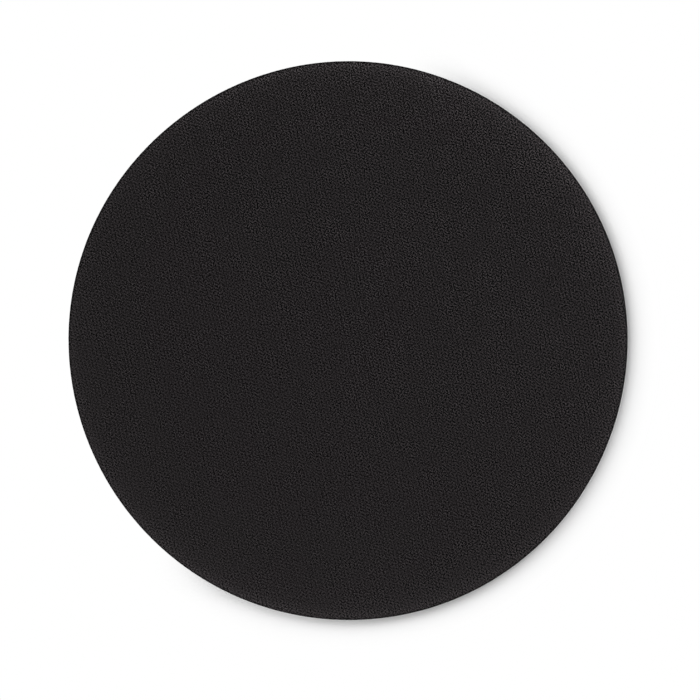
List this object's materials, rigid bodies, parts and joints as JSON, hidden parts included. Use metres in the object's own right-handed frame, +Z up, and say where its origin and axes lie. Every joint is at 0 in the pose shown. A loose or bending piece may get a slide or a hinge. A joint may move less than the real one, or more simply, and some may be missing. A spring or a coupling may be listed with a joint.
{
  "type": "mouse pad",
  "caption": "Plain round mouse pad: a knitted face cloth glued to a thin foam rubber base with an embossed anti-slip underside.",
  "frame": {"origin": "centre of the underside, on the plane that the pad rests on", "axes": "+Z up through the thickness, out of the face cloth; +X to the right and +Y to the top of the picture; the round pad looks alike about Z"},
  "size_m": [0.2, 0.2, 0.003],
  "materials": {
    "foam_rubber": "dull embossed skin, fine closed foam where it is cut",
    "hot_melt_adhesive": "thin satin film",
    "knit_cloth": "matt black polyester, fine even knit"
  },
  "bodies": {
    "root": {"rubber_base": "foam_rubber", "adhesive_film": "hot_melt_adhesive", "face_cloth": "knit_cloth"}
  },
  "joints": []
}
